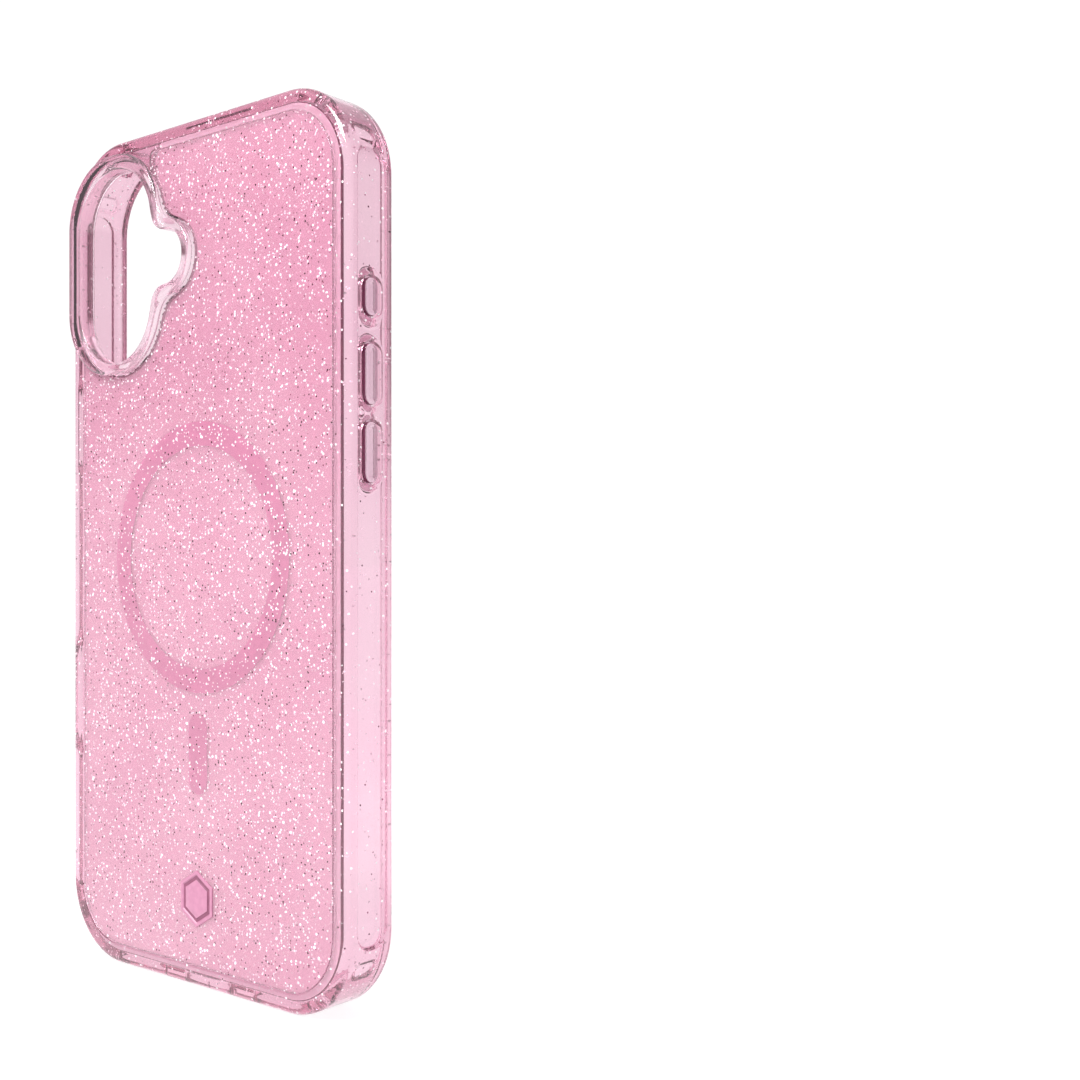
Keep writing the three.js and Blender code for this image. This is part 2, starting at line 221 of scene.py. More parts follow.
def steps(*stretches):
    """Grid positions along one axis: each stretch is (start, end, step), end to start."""
    parts = [
        np.linspace(start, end, max(2, round((end - start) / step) + 1))[:-1]
        for start, end, step in stretches
    ]
    return np.concatenate(parts + [[stretches[-1][1]]])


def field_gradient(field, points, reach=0.02):
    columns = []
    for axis in range(3):
        move = np.zeros(3)
        move[axis] = reach
        ahead, behind = points + move, points - move
        columns.append(
            (field(*ahead.T) - field(*behind.T)) / (2 * reach)
        )
    return np.stack(columns, axis=1)


def settle(field, points, rounds=4, stride=0.25):
    """Moves points onto the field's surface."""
    for _ in range(rounds):
        value = np.clip(field(*points.T), -stride, stride)
        slope = field_gradient(field, points)
        size = np.maximum((slope * slope).sum(axis=1), 0.05)
        points = points - slope * (value / size)[:, None]
    return points


def surface_net(field, axes):
    """Vertices and quads of the field's zero surface on a grid with the three given axes."""
    grids = np.meshgrid(*axes, indexing="ij", sparse=True)
    shape = tuple(len(axis) for axis in axes)
    value = np.broadcast_to(field(*grids), shape).astype(np.float32)
    inside = value < 0
    cells = tuple(n - 1 for n in shape)
    cell_count = cells[0] * cells[1] * cells[2]
    total = np.zeros((cell_count, 3))
    hits = np.zeros(cell_count)
    edges = []
    for axis in range(3):
        low = [slice(None)] * 3
        high = [slice(None)] * 3
        low[axis] = slice(0, -1)
        high[axis] = slice(1, None)
        low, high = tuple(low), tuple(high)
        start = np.argwhere(inside[low] != inside[high])
        near = value[low][tuple(start.T)]
        far = value[high][tuple(start.T)]
        share = near / (near - far)
        point = np.stack([axes[k][start[:, k]] for k in range(3)], axis=1)
        ahead = axes[axis][start[:, axis] + 1]
        point[:, axis] += share * (ahead - point[:, axis])
        second, third = (axis + 1) % 3, (axis + 2) % 3
        around = []
        for step_b, step_c in ((-1, -1), (0, -1), (0, 0), (-1, 0)):
            cell = start.copy()
            cell[:, second] += step_b
            cell[:, third] += step_c
            valid = ((cell >= 0) & (cell < np.array(cells))).all(axis=1)
            flat = np.where(valid, np.ravel_multi_index(np.maximum(cell, 0).T, cells, mode="clip"), -1)
            around.append(flat)
            good = flat >= 0
            for k in range(3):
                total[:, k] += np.bincount(flat[good], point[good, k], cell_count)
            hits += np.bincount(flat[good], minlength=cell_count)
        around = np.stack(around, axis=1)
        whole = (around >= 0).all(axis=1)
        turned = near >= 0
        around[turned] = around[turned][:, ::-1]
        edges.append(around[whole])
    used = np.flatnonzero(hits)
    index = np.full(cell_count, -1)
    index[used] = np.arange(len(used))
    points = total[used] / hits[used][:, None]
    return settle(field, points), index[np.concatenate(edges)]


def place(points):
    """(x, depth, up) in millimetres to the row frame in metres."""
    points = np.asarray(points, float)
    offset = np.array([0.0, BACK_Y, MID_Z])
    return points * MM + offset


def new_object(name, points, faces, material, smooth=True):
    mesh = bpy.data.meshes.new(name)
    mesh.from_pydata(place(points).tolist(), [], [list(map(int, face)) for face in faces])
    mesh.validate()
    mesh.polygons.foreach_set("use_smooth", [smooth] * len(mesh.polygons))
    mesh.materials.append(material)
    mesh.update()
    piece = bpy.data.objects.new(name, mesh)
    bpy.context.scene.collection.objects.link(piece)
    return piece


def field_object(name, field, axes, material):
    points, quads = surface_net(field, axes)
    return new_object(name, points, quads, material)


def walk_outline(field, start, step):
    """Points spaced by step along a closed outline, with their outward normals."""
    reach = 0.01

    def slope(point):
        x, up = point
        across = field(x + reach, up) - field(x - reach, up)
        along = field(x, up + reach) - field(x, up - reach)
        gradient = np.array([across, along]) / (2 * reach)
        return gradient / max(np.linalg.norm(gradient), 1e-6)

    def snap(point):
        for _ in range(3):
            point = point - slope(point) * field(*point)
        return point

    first = snap(np.array(start, float))
    points = [first]
    normals = [slope(first)]
    while len(points) < 6000:
        normal = normals[-1]
        point = snap(points[-1] + step * np.array([-normal[1], normal[0]]))
        if len(points) > 10 and np.linalg.norm(point - first) < step:
            break
        points.append(point)
        normals.append(slope(point))
    return np.array(points), np.array(normals)


def round_profile(low, high, radius, segments=4):
    """(inset, depth) pairs round a slab's edge, from its outer face to its inner face."""
    turns = [math.pi / 2 * k / segments for k in range(segments + 1)]
    start = [(radius * (1 - math.sin(t)), low + radius * (1 - math.cos(t))) for t in turns]
    end = [(radius * (1 - math.cos(t)), high - radius * (1 - math.sin(t))) for t in turns]
    return start + end


def plate_object(name, field, start, step, low, high, radius, material):
    """A flat plate with a rounded edge, from its outline's field."""
    outline, normals = walk_outline(field, start, step)
    profile = round_profile(low, high, radius)
    count = len(outline)
    points = []
    for inset, depth in profile:
        ring = outline - normals * inset
        points.extend([(x, depth, up) for x, up in ring])
    faces = []
    for row in range(len(profile) - 1):
        for k in range(count):
            after = (k + 1) % count
            a, b = row * count + k, row * count + after
            faces.append((a, b, b + count, a + count))
    last = (len(profile) - 1) * count
    faces.append(tuple(reversed(range(count))))
    faces.append(tuple(last + k for k in range(count)))
    piece = new_object(name, points, faces, material)
    face_outwards(piece)
    return piece


def ring_object(name, inner, outer, low, high, radius, material, segments=160):
    """A flat ring round the magnet centre with rounded edges."""
    width = outer - inner
    profile = [(outer - inset, depth) for inset, depth in round_profile(low, high, radius)]
    profile += [(2 * outer - width - r, d) for r, d in reversed(profile)]
    count = len(profile)
    points = []
    for k in range(segments):
        angle = 2 * math.pi * k / segments
        points.extend(
            (r * math.cos(angle), d, RING_UP + r * math.sin(angle)) for r, d in profile
        )
    faces = []
    for k in range(segments):
        here, after = k * count, (k + 1) % segments * count
        for j in range(count):
            nxt = (j + 1) % count
            faces.append((here + j, here + nxt, after + nxt, after + j))
    piece = new_object(name, points, faces, material)
    face_outwards(piece)
    return piece


def face_outwards(piece):
    tidy = bmesh.new()
    tidy.from_mesh(piece.data)
    bmesh.ops.recalc_face_normals(tidy, faces=tidy.faces)
    tidy.to_mesh(piece.data)
    tidy.free()
    keep_flats_flat(piece)


def paint_shade_lines(piece, material, choose, axis=1, limit=0.9):
    """Gives the faces that stand along the axis, and that choose(x, up) picks, a second material: a
    dark one, which paints shade lines along the edges seen through the clear plastic.
    """
    piece.data.materials.append(material)
    for polygon in piece.data.polygons:
        centre = polygon.center
        stands = abs(polygon.normal[axis]) < limit
        if stands and choose(centre.x / MM, (centre.z - MID_Z) / MM):
            polygon.material_index = len(piece.data.materials) - 1


def keep_flats_flat(piece):
    """Faces that lie square to the depth are shaded flat, so that they mirror and refract evenly."""
    for polygon in piece.data.polygons:
        if abs(polygon.normal.y) > 0.999:
            polygon.use_smooth = False


def stand_for(piece, node, body=BODY):
    """The piece rides on the node's body and is shown in its place."""
    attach(piece, body)
    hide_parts(node)
    return piece


# ---------- Materials ----------

PLASTIC_IOR = 1.5
FLECK_CLEAR = 0.18
VOLUME_TINT = (0.80, 0.42, 0.56)
# Layers of flecks: spacing and size in millimetres, share of cells filled, shift, two tones.
PANEL_FLECKS = (
    (0.72, 0.28, 0.60, 0.11, (0.97, 0.74, 0.84), (1.0, 0.90, 0.95)),
    (1.20, 0.46, 0.65, 0.37, (0.98, 0.86, 0.92), (1.0, 1.0, 1.0)),
    (0.95, 0.36, 0.34, 0.73, (0.05, 0.01, 0.02), (0.24, 0.05, 0.11)),
)
LINER_FLECKS = (
    (0.90, 0.30, 0.55, 0.47, (0.98, 0.90, 0.95), (1.0, 1.0, 1.0)),
)
BUMPER_FLECKS = (
    (1.30, 0.44, 0.60, 0.23, (0.98, 0.86, 0.92), (1.0, 1.0, 1.0)),
    (1.90, 0.36, 0.45, 0.61, (0.08, 0.02, 0.04), (0.30, 0.08, 0.15)),
)


def new_material(name):
    material = bpy.data.materials.new(name)
    material.use_nodes = True
    return material, material.node_tree, material.node_tree.nodes["Principled BSDF"]


def object_noise(tree, scale, detail=3.0, roughness=0.5):
    """Noise that stays with the piece, scale in features per metre."""
    place_node = tree.nodes.new("ShaderNodeTexCoord")
    noise = tree.nodes.new("ShaderNodeTexNoise")
    noise.inputs["Scale"].default_value = scale
    noise.inputs["Detail"].default_value = detail
    noise.inputs["Roughness"].default_value = roughness
    tree.links.new(place_node.outputs["Object"], noise.inputs["Vector"])
    return noise.outputs["Fac"]


def ramp(tree, source, low, high, low_color, high_color):
    node = tree.nodes.new("ShaderNodeValToRGB")
    node.color_ramp.elements[0].position = low
    node.color_ramp.elements[1].position = high
    node.color_ramp.elements[0].color = (*low_color, 1)
    node.color_ramp.elements[1].color = (*high_color, 1)
    tree.links.new(source, node.inputs["Fac"])
    return node.outputs["Color"]


def span(tree, source, low, high):
    node = tree.nodes.new("ShaderNodeMapRange")
    node.inputs["To Min"].default_value = low
    node.inputs["To Max"].default_value = high
    tree.links.new(source, node.inputs["Value"])
    return node.outputs["Result"]


def calculate(tree, operation, first, second):
    """A Math node: first and second are sockets or numbers."""
    node = tree.nodes.new("ShaderNodeMath")
    node.operation = operation
    for socket, value in zip(node.inputs, (first, second)):
        if isinstance(value, (int, float)):
            socket.default_value = value
        else:
            tree.links.new(value, socket)
    return node.outputs["Value"]


def mix_colors(tree, factor, under, over):
    node = tree.nodes.new("ShaderNodeMix")
    node.data_type = "RGBA"
    tree.links.new(factor, node.inputs["Factor"])
    for name, value in (("A", under), ("B", over)):
        socket = [s for s in node.inputs if s.name == name and s.type == "RGBA"][0]
        if isinstance(value, tuple):
            socket.default_value = (*value, 1)
        else:
            tree.links.new(value, socket)
    return [s for s in node.outputs if s.type == "RGBA"][0]


def flecks(tree, spacing, size, share, shift):
    """Scattered round flecks, spacing and size in millimetres: a mask and a random tone."""
    place_node = tree.nodes.new("ShaderNodeTexCoord")
    move = tree.nodes.new("ShaderNodeMapping")
    move.inputs["Location"].default_value = (shift, shift * 1.7, shift * 0.6)
    cells = tree.nodes.new("ShaderNodeTexVoronoi")
    cells.inputs["Scale"].default_value = 1 / (spacing * MM)
    tree.links.new(place_node.outputs["Object"], move.inputs["Vector"])
    tree.links.new(move.outputs["Vector"], cells.inputs["Vector"])
    pick = tree.nodes.new("ShaderNodeSeparateColor")
    tree.links.new(cells.outputs["Color"], pick.inputs["Color"])
    near = calculate(tree, "LESS_THAN", cells.outputs["Distance"], size / 2 / spacing)
    chosen = calculate(tree, "LESS_THAN", pick.outputs["Red"], share)
    return calculate(tree, "MULTIPLY", near, chosen), pick.outputs["Green"]


def bump(tree, shader, source, strength, distance):
    node = tree.nodes.new("ShaderNodeBump")
    node.inputs["Strength"].default_value = strength
    node.inputs["Distance"].default_value = distance
    tree.links.new(source, node.inputs["Height"])
    tree.links.new(node.outputs["Normal"], shader.inputs["Normal"])


def tint_inside(tree, color, density):
    """Light that travels further through the plastic comes out darker."""
    volume = tree.nodes.new("ShaderNodeVolumeAbsorption")
    volume.inputs["Color"].default_value = (*color, 1)
    volume.inputs["Density"].default_value = density
    tree.links.new(volume.outputs["Volume"], tree.nodes["Material Output"].inputs["Volume"])


def scatter_flecks(tree, color, clear, layers):
    """Lays flecks over a colour; the plastic turns nearly opaque where they lie."""
    solid = None
    for spacing, size, share, shift, deep, pale in layers:
        mask, tone = flecks(tree, spacing, size, share, shift)
        color = mix_colors(tree, mask, color, ramp(tree, tone, 0.1, 0.9, deep, pale))
        solid = mask if solid is None else calculate(tree, "MAXIMUM", solid, mask)
    opening = calculate(tree, "MULTIPLY_ADD", solid, FLECK_CLEAR - clear)
    opening.node.inputs[2].default_value = clear
    return color, opening


def clear_plastic(name, pale, deep, clear, gloss, density, layers=(), glow=0.0):
    """Translucent pink plastic: mottled slightly, glossy, and darker where it is thick.

    The glow stands for light that reaches a surface through clear plastic above it.
    """
    material, tree, shader = new_material(name)
    color = ramp(tree, object_noise(tree, 55.0), 0.35, 0.7, pale, deep)
    shader.inputs["Transmission Weight"].default_value = clear
    if layers:
        color, opening = scatter_flecks(tree, color, clear, layers)
        tree.links.new(opening, shader.inputs["Transmission Weight"])
    tree.links.new(color, shader.inputs["Base Color"])
    tree.links.new(
        span(tree, object_noise(tree, 140.0), gloss * 0.7, gloss * 1.5),
        shader.inputs["Roughness"],
    )
    shader.inputs["Emission Color"].default_value = (*deep, 1)
    shader.inputs["Emission Strength"].default_value = glow
    shader.inputs["IOR"].default_value = PLASTIC_IOR
    shader.inputs["Coat Weight"].default_value = 0.25
    shader.inputs["Coat Roughness"].default_value = 0.04
    bump(tree, shader, object_noise(tree, 420.0, detail=1.0), 0.05, 0.0002)
    if density > 0:
        tint_inside(tree, VOLUME_TINT, density)
    return material


def glitter_plate(name):
    """Clear pink acrylic crowded with light flecks, with a thinner layer of dark ones."""
    material, tree, shader = new_material(name)
    color = ramp(tree, object_noise(tree, 40.0), 0.35, 0.7, (0.90, 0.61, 0.72), (0.87, 0.54, 0.67))
    color, opening = scatter_flecks(tree, color, 0.80, PANEL_FLECKS)
    tree.links.new(color, shader.inputs["Base Color"])
    tree.links.new(opening, shader.inputs["Transmission Weight"])
    tree.links.new(span(tree, object_noise(tree, 140.0), 0.05, 0.11), shader.inputs["Roughness"])
    shader.inputs["IOR"].default_value = PLASTIC_IOR
    shader.inputs["Coat Weight"].default_value = 0.3
    shader.inputs["Coat Roughness"].default_value = 0.05
    bump(tree, shader, object_noise(tree, 420.0, detail=1.0), 0.04, 0.0002)
    return material


def satin_print_and_shade(name, pale, deep, roughness):
    """An opaque pink with a fine even grain: printed or moulded for the covers and the badge, and
    painted shade for the dark rims and the badge's groove.
    """
    material, tree, shader = new_material(name)
    grain = object_noise(tree, 900.0, detail=4.0)
    tree.links.new(ramp(tree, grain, 0.3, 0.7, deep, pale), shader.inputs["Base Color"])
    tree.links.new(
        span(tree, object_noise(tree, 300.0), roughness * 0.8, roughness * 1.2),
        shader.inputs["Roughness"],
    )
    bump(tree, shader, grain, 0.15, 0.00005)
    return material


def plated_metal(name, pale, deep, roughness):
    """Nickel plate with faint grinding marks."""
    material, tree, shader = new_material(name)
    shader.inputs["Metallic"].default_value = 1.0
    marks = object_noise(tree, 600.0, detail=5.0, roughness=0.7)
    tree.links.new(ramp(tree, marks, 0.3, 0.75, deep, pale), shader.inputs["Base Color"])
    tree.links.new(span(tree, marks, roughness * 0.7, roughness * 1.4), shader.inputs["Roughness"])
    bump(tree, shader, marks, 0.1, 0.00002)
    return material


def flake_material(name, pale, deep, metallic, glow):
    """Glitter flakes that vary in tone from one to the next; with glow they also give off light, a
    painted glint.
    """
    material, tree, shader = new_material(name)
    tone = object_noise(tree, 2500.0, detail=0.0)
    color = ramp(tree, tone, 0.3, 0.7, deep, pale)
    tree.links.new(color, shader.inputs["Base Color"])
    tree.links.new(span(tree, tone, 0.15, 0.4), shader.inputs["Roughness"])
    shader.inputs["Metallic"].default_value = metallic
    shader.inputs["Emission Color"].default_value = (*pale, 1)
    shader.inputs["Emission Strength"].default_value = glow
    return material


BUMPER = clear_plastic(
    "bumper_pink", (0.95, 0.71, 0.81), (0.93, 0.65, 0.77), 0.95, 0.04, 130.0, BUMPER_FLECKS
)
GUARD = clear_plastic("guard_pink", (0.99, 0.88, 0.93), (0.97, 0.82, 0.89), 0.95, 0.03, 80.0)
# Dark plum as painted shade: it draws the dark lines that the clear layers show along their edges.
RIM_PAINTED_SHADE = satin_print_and_shade("rim_plum_painted_shade", (0.28, 0.07, 0.14), (0.20, 0.05, 0.10), 0.25)
PANEL = glitter_plate("panel_pink")
# The liner's glow is painted light: it brightens the sheet as if lit through the clear plastic above
# it.
LINER = clear_plastic(
    "liner_pink", (0.99, 0.84, 0.91), (0.98, 0.79, 0.87), 0.16, 0.30, 0.0, LINER_FLECKS, 0.18
)
BUTTON = clear_plastic("button_pink", (0.92, 0.66, 0.77), (0.88, 0.58, 0.71), 0.75, 0.10, 0.0)
# Painted shade: a dark plum for the caps' sides, which draws the dark slot round each cap.
BUTTON_EDGE_SHADE = clear_plastic("button_edge_painted_shade", (0.26, 0.06, 0.13), (0.18, 0.04, 0.09), 0.4, 0.10, 0.0)
COVER = satin_print_and_shade("cover_pink", (0.88, 0.32, 0.58), (0.81, 0.27, 0.52), 0.35)
BADGE = satin_print_and_shade("badge_pink", (0.58, 0.25, 0.38), (0.50, 0.20, 0.32), 0.30)
# Painted shade: a darker plum for the badge's groove, so that its relief shows.
BADGE_GROOVE_SHADE = satin_print_and_shade("badge_groove_painted_shade", (0.28, 0.08, 0.15), (0.22, 0.06, 0.12), 0.40)
NICKEL = plated_metal("nickel", (0.80, 0.80, 0.82), (0.62, 0.62, 0.65), 0.22)
STEEL = plated_metal("thin_steel", (0.72, 0.70, 0.72), (0.58, 0.56, 0.58), 0.35)
# The light flakes glow a little: painted glint on top of what they reflect.
LIGHT_FLAKE = flake_material("flake_light", (1.0, 0.96, 0.98), (0.95, 0.78, 0.87), 0.3, 0.5)
DARK_FLAKE = flake_material("flake_dark", (0.30, 0.10, 0.18), (0.12, 0.04, 0.08), 0.4, 0.0)


# ---------- Bumper ----------


def side_pill(depth, up, half_width, middle_up, half_length):
    return pill(depth - CHANNEL_MIDDLE, up - middle_up, half_width, half_length)


def bumper_field(x, depth, up):
    side = np.abs(x)
    body = slab(case_outline(x, up, 0), depth - DEPTH / 2, DEPTH / 2, BODY_ROUNDING)
    lip_start = DEPTH - LIP_DEPTH
    cavity_middle = (BACK_THICKNESS + lip_start) / 2
    cavity = slab(
        case_outline(x, up, WALL),
        depth - cavity_middle,
        lip_start - cavity_middle,
        CAVITY_ROUNDING,
    )
    mouth = np.maximum(case_outline(x, up, WALL + LIP_OVERHANG), cavity_middle - depth)
    earpiece = np.maximum(
        rounded_box(
            x, up - HALF_LENGTH + WALL + LIP_OVERHANG, *EARPIECE_HALF, EARPIECE_RADIUS
        ),
        lip_start - 0.3 - depth,
    )
    back = panel_outline(x, up, PANEL_INSET - SEAM)
    window = np.maximum(back, depth - cavity_middle)
    guard_seat = np.maximum(camera_outline(x, up, GUARD_RIM), depth - cavity_middle)
    solid = cut(body, cavity, 0.3)
    solid = cut(solid, join(mouth, earpiece, 0.5), 0.7)
    solid = cut(solid, join(window, guard_seat), 0.12)

    channel = np.maximum(
        side_pill(depth, up, CHANNEL_HALF_WIDTH, CHANNEL_UP, CHANNEL_HALF_LENGTH),
        HALF_WIDTH - CHANNEL_DEPTH - side,
    )
    for sign, bezels in BEZELS.items():
        for middle_up, half_length in bezels:
            ring = side_pill(depth, up, BEZEL_HALF_WIDTH, middle_up, half_length)
            raised = slab(ring, side - HALF_WIDTH + 1.1, 1.0, 0.35)
            raised = np.where(x * sign > 0, raised, 1.0)
            channel = cut(channel, raised, 0.35)
    pad = slab(
        side_pill(depth, up, CHANNEL_HALF_WIDTH + 0.1, CONTROL_UP, CONTROL_PAD),
        side - HALF_WIDTH + 1.05,
        1.0,
        0.6,
    )
    channel = cut(channel, np.where(x < 0, pad, 1.0), 0.4)
    solid = cut(solid, channel, 0.3)

    top_channel = np.maximum(
        pill(x, depth - CHANNEL_MIDDLE, TOP_CHANNEL_HALF, CHANNEL_HALF_WIDTH),
        HALF_LENGTH - CHANNEL_DEPTH - up,
    )
    solid = cut(solid, top_channel, 0.3)

    inner = HALF_WIDTH - WALL
    for sign, middle_up, half_length, _ in BUTTONS.values():
        opening = side_pill(
            depth, up, CAP_HALF_WIDTH + SLOT, middle_up, half_length + CAP_END_GAP
        )
        pocket = np.maximum(
            side_pill(depth, up, CAP_HALF_WIDTH + 0.3, middle_up, half_length + TAB_OVERLAP + 0.3),
            side - inner - POCKET,
        )
        through = np.maximum(join(opening, pocket), inner - 1.5 - side)
        through = np.where(x * sign > 0, through, OUTSIDE)
        solid = cut(solid, through, 0.35)
    control = side_pill(depth, up, CONTROL_HALF_WIDTH, CONTROL_UP, CONTROL_HALF_LENGTH)
    control = np.where(x < 0, np.maximum(control, inner - 1.5 - side), OUTSIDE)
    solid = cut(solid, control, 0.7)

    port = pill(x, depth - EDGE_MIDDLE, *PORT_HALF)
    sound = pill(side - SOUND_X, depth - EDGE_MIDDLE, *SOUND_HALF)
    bottom = np.maximum(join(port, sound), up + HALF_LENGTH - WALL - 1.5)
    solid = cut(solid, bottom, 0.5)

    corner_x = side - (HALF_WIDTH - CORNER_RADIUS)
    corner_up = np.abs(up) - (HALF_LENGTH - CORNER_RADIUS)
    reach = np.hypot(corner_x, corner_up)
    spread = np.abs(np.arctan2(corner_up, corner_x) - math.pi / 4)
    spread = (spread - math.radians(24)) * (CORNER_RADIUS - WALL)
    pocket_mid = CORNER_RADIUS - WALL
    cushion = slab(
        rounded_box(spread + 1.5, depth - EDGE_MIDDLE, 1.5, 2.6, 1.4),
        reach - pocket_mid,
        0.95,
        0.6,
    )
    return cut(solid, np.where((corner_x > 0) & (corner_up > 0), cushion, OUTSIDE), 0.3)


def bumper_axes():
    fine = 0.4
    edge = HALF_WIDTH + 0.4
    across = steps(
        (-edge, -24.0, fine), (-24.0, 24.0, 0.6), (24.0, edge, fine)
    )
    through = steps((-0.4, DEPTH + 0.4, fine))
    top = HALF_LENGTH + 0.4
    along = steps(
        (-top, -64.0, fine),
        (-64.0, -44.0, 1.0),
        (-44.0, -14.5, fine),
        (-14.5, 9.5, 1.0),
        (9.5, 51.0, fine),
        (51.0, 64.0, 1.0),
        (64.0, top, fine),
    )
    return across, through, along


def build_bumper():
    piece = field_object("bumper_frame_shell", bumper_field, bumper_axes(), BUMPER)
    return stand_for(piece, "bumper_frame")


# ---------- Camera guard ----------


def guard_field(x, depth, up):
    rim = camera_outline(x, up, GUARD_RIM, GUARD_LEFT, GUARD_TOP)
    wall = camera_outline(x, up, GUARD_WALL)
    top = slab(rim, depth + GUARD_HEIGHT / 2 - 0.02, GUARD_HEIGHT / 2 - 0.02, GUARD_ROUNDING)
    tube_low = -GUARD_HEIGHT / 2
    tube = slab(
        wall,
        depth - (BACK_THICKNESS + tube_low) / 2,
        (BACK_THICKNESS - tube_low) / 2,
        0.25,
    )
    return cut(join(top, tube, 0.15), camera_outline(x, up, 0), 0.7)


def build_guard():
    low_x = guard_low.x / MM - 0.6
    high_x = guard_high.x / MM + 0.6
    low_up = (guard_low.z - MID_Z) / MM - 0.6
    high_up = (guard_high.z - MID_Z) / MM + 0.6
    axes = (
        steps((low_x, high_x, 0.33)),
        steps((-GUARD_HEIGHT - 0.3, BACK_THICKNESS + 0.3, 0.25)),
        steps((low_up, high_up, 0.33)),
    )
    piece = field_object("camera_guard_rim", guard_field, axes, GUARD)
    return stand_for(piece, "camera_guard")


# ---------- Back layers ----------


def stem_field(x, up):
    return pill(x, up - STEM_UP, STEM_HALF_WIDTH, STEM_HALF_LENGTH)


def hexagon_field(x, up):
    across = BADGE_RADIUS * math.cos(math.pi / 6)
    slant = 0.5 * np.abs(x) + math.sin(math.pi / 3) * np.abs(up - BADGE_UP)
    return np.maximum(np.abs(x), slant) - across


def build_panel():
    """One clear plate, with the covers and the magnets cast into it."""
    piece = plate_object(
        "back_panel_plate",
        lambda x, up: panel_outline(x, up, PANEL_INSET),
        (HALF_WIDTH - PANEL_INSET, 0.0),
        0.35,
        0.0,
        PANEL_THICKNESS,
        0.14,
        PANEL,
    )
    # Painted shade: the plate's rim round the camera guard is coloured dark plum to draw a dark line
    # there.
    paint_shade_lines(piece, RIM_PAINTED_SHADE, lambda x, up: camera_outline(x, up, GUARD_RIM) < 1.0)
    return stand_for(piece, "back_panel")


def build_liner():
    """The smooth inner sheet, with the steel ring cast into it."""
    inset = HALF_WIDTH - liner_high.x / MM
    piece = plate_object(
        "inner_liner_sheet",
        lambda x, up: panel_outline(x, up, inset),
        (HALF_WIDTH - inset, 0.0),
        0.4,
        (liner_low.y - BACK_Y) / MM,
        BACK_THICKNESS,
        0.32,
        LINER,
    )
    # Painted shade: the sheet's outer rim is coloured dark plum to draw the dark line along the case's
    # edge.
    paint_shade_lines(piece, RIM_PAINTED_SHADE, lambda x, up: case_outline(x, up, inset) > -0.5)
    return stand_for(piece, "inner_liner")


def build_covers():
    low = (cover_low.y - BACK_Y) / MM
    high = (cover_high.y - BACK_Y) / MM
    ring = ring_object("ring_cover_print", COVER_INNER, COVER_OUTER, low, high, 0.06, COVER)
    stand_for(ring, "ring_cover")
    stem = plate_object(
        "stem_cover_print", stem_field, (STEM_HALF_WIDTH, STEM_UP), 0.25, low, high, 0.06, COVER
    )
    stand_for(stem, "stem_cover")


def build_badge():
    """A raised six-sided rim and a smaller six-sided centre on one thin foot, with painted shade in
    the groove between them.
    """
    across = BADGE_RADIUS * math.cos(math.pi / 6)
    rings = [
        (0.00, 0.12), (0.00, -0.16), (0.12, -0.24), (0.62, -0.24), (0.80, -0.03),
        (1.35, -0.03), (1.50, -0.16), (2.50, -0.28),
    ]
    # Rows of the groove between rim and centre, which get the darker plum as painted shade.
    groove = (4, 5)
    count = 6
    points = []
    for inset, depth in rings:
        radius = (across - inset) / math.cos(math.pi / 6)
        for k in range(count):
            angle = (k + 0.5) * 2 * math.pi / count
            points.append((radius * math.cos(angle), depth, BADGE_UP + radius * math.sin(angle)))
    faces = [tuple(range(count))]
    for row in range(len(rings) - 1):
        for k in range(count):
            after = (k + 1) % count
            a, b = row * count + k, row * count + after
            faces.append((a, b, b + count, a + count))
    last = (len(rings) - 1) * count
    faces.append(tuple(last + k for k in range(count)))
    piece = new_object("badge_gem", points, faces, BADGE, smooth=False)
    piece.data.materials.append(BADGE_GROOVE_SHADE)
    for row in groove:
        for k in range(count):
            piece.data.polygons[1 + row * count + k].material_index = 1
    face_outwards(piece)
    return stand_for(piece, "badge")


# ---------- Buttons ----------


def cap_field(side_sign, middle_up, half_length):
    inner = HALF_WIDTH - WALL + 0.05
    outer = HALF_WIDTH - 0.05

    def field(x, depth, up):
        height = x * side_sign
        middle = (inner + outer) / 2
        outline = side_pill(depth, up, CAP_HALF_WIDTH, middle_up, half_length)
        cap = slab(outline, height - middle, (outer - inner) / 2, 0.45)
        tab_outline = side_pill(depth, up, CAP_HALF_WIDTH, middle_up, half_length + TAB_OVERLAP)
        tab = slab(tab_outline, height - inner - TAB_THICKNESS / 2, TAB_THICKNESS / 2, 0.12)
        groove = side_pill(depth, up, 0.55, middle_up, half_length - 1.0)
        dish = slab(groove, height - outer - 0.05, 0.28, 0.2)
        return cut(join(cap, tab, 0.2), dish, 0.25)

    return field


def build_buttons():
    for node, (side_sign, middle_up, half_length, body) in BUTTONS.items():
        inner = HALF_WIDTH - WALL - 0.2
        outer = HALF_WIDTH + 0.2
        low, high = sorted((side_sign * inner, side_sign * outer))
        reach = half_length + TAB_OVERLAP + 0.3
        axes = (
            steps((low, high, 0.12)),
            steps((CHANNEL_MIDDLE - 1.8, CHANNEL_MIDDLE + 1.8, 0.15)),
            steps((middle_up - reach, middle_up + reach, 0.15)),
        )
        field = cap_field(side_sign, middle_up, half_length)
        piece = field_object(node + "_cap", field, axes, BUTTON)
        # Painted shade: the caps' sides are coloured dark plum to draw the dark slot round them.
        paint_shade_lines(piece, BUTTON_EDGE_SHADE, lambda x, up: True, axis=0, limit=0.55)
        stand_for(piece, node, body)


# ---------- Magnets ----------


def finish_magnets():
    """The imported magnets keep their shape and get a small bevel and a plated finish."""
    for node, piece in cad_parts.items():
        if "magnet" not in node:
            continue
        piece.data.materials.clear()
        piece.data.materials.append(STEEL if node == "magnet_carrier" else NICKEL)
        if node != "magnet_carrier":
            bevel = piece.modifiers.new("bevel", "BEVEL")
            bevel.width = 0.12 * MM
            bevel.segments = 2
            bevel.limit_method = "ANGLE"


# ---------- Glitter ----------


